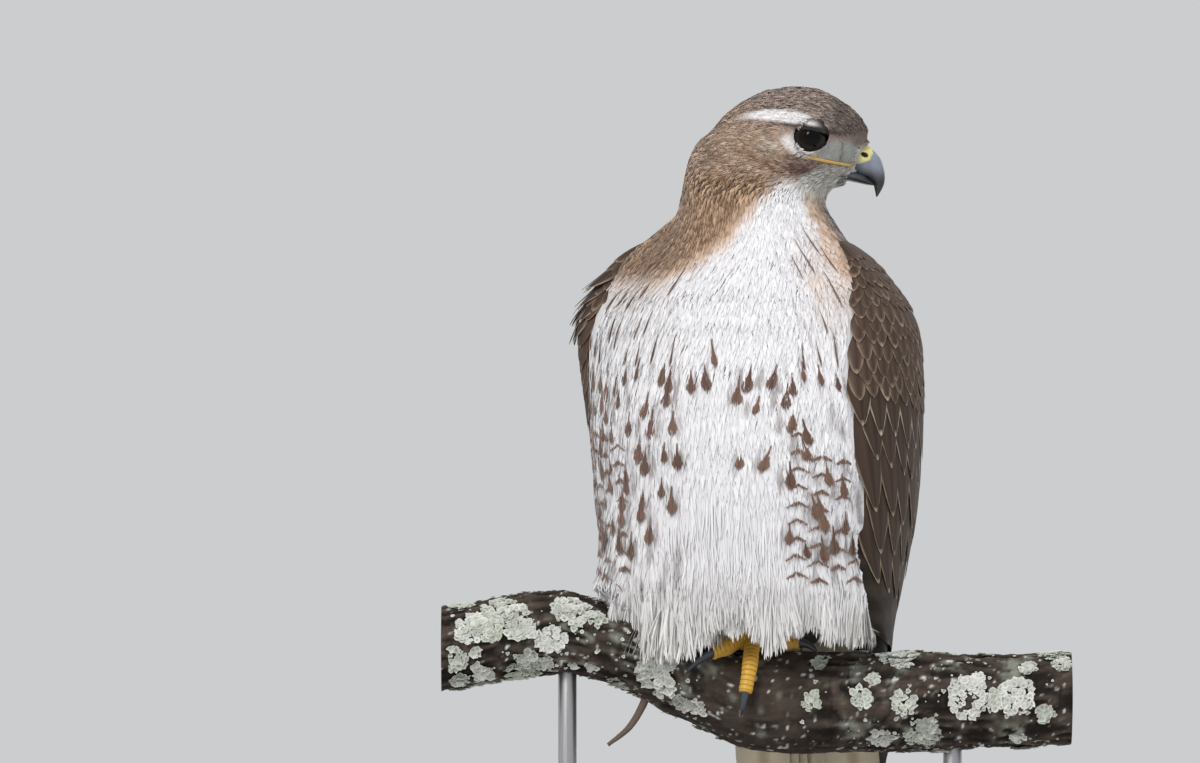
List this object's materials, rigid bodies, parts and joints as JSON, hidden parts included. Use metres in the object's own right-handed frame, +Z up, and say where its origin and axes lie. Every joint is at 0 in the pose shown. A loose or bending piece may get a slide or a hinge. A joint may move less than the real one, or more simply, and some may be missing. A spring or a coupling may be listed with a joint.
{
  "type": "red tailed hawk",
  "caption": "Life-size still model of a red-tailed hawk standing on one foot on a cut branch, head turned over its shoulder, held up by rods on a flat base.",
  "frame": {"origin": "middle of the underside of the stand's base, on the floor", "axes": "+Z up from the floor to the crown; +X along the branch, to the right for a viewer who faces the bird's breast; -Y towards that viewer"},
  "size_m": [0.34, 0.23, 0.5125],
  "materials": {
    "plumage_tawny": "soft matt feathers",
    "plumage_white": "soft matt feathers",
    "plumage_brown": "matt feathers with pale edges",
    "plumage_rufous": "matt feathers",
    "cere": "waxy",
    "horn": "polished horn",
    "eye": "wet gloss",
    "foot_skin": "scaly, slightly waxy",
    "bark": "rough bark with pale lichen",
    "board": "satin lacquer",
    "steel": "brushed"
  },
  "bodies": {
    "root": {"head": "plumage_tawny", "neck": "plumage_tawny", "torso": "plumage_white", "leg_left": "plumage_white", "leg_right": "plumage_white", "undertail": "plumage_white", "wing_left": "plumage_brown", "wing_right": "plumage_brown", "tail": "plumage_rufous", "cere": "cere", "bill_upper": "horn", "bill_lower": "horn", "eye_left": "eye", "eye_right": "eye", "foot_left": "foot_skin", "foot_right": "foot_skin", "claw_left_inner": "horn", "claw_left_middle": "horn", "claw_left_outer": "horn", "claw_left_hind": "horn", "claw_right_inner": "horn", "claw_right_middle": "horn", "claw_right_outer": "horn", "claw_right_hind": "horn", "perch": "bark", "stand_base": "board", "stand_rod_left": "steel", "stand_rod_right": "steel"}
  },
  "joints": []
}
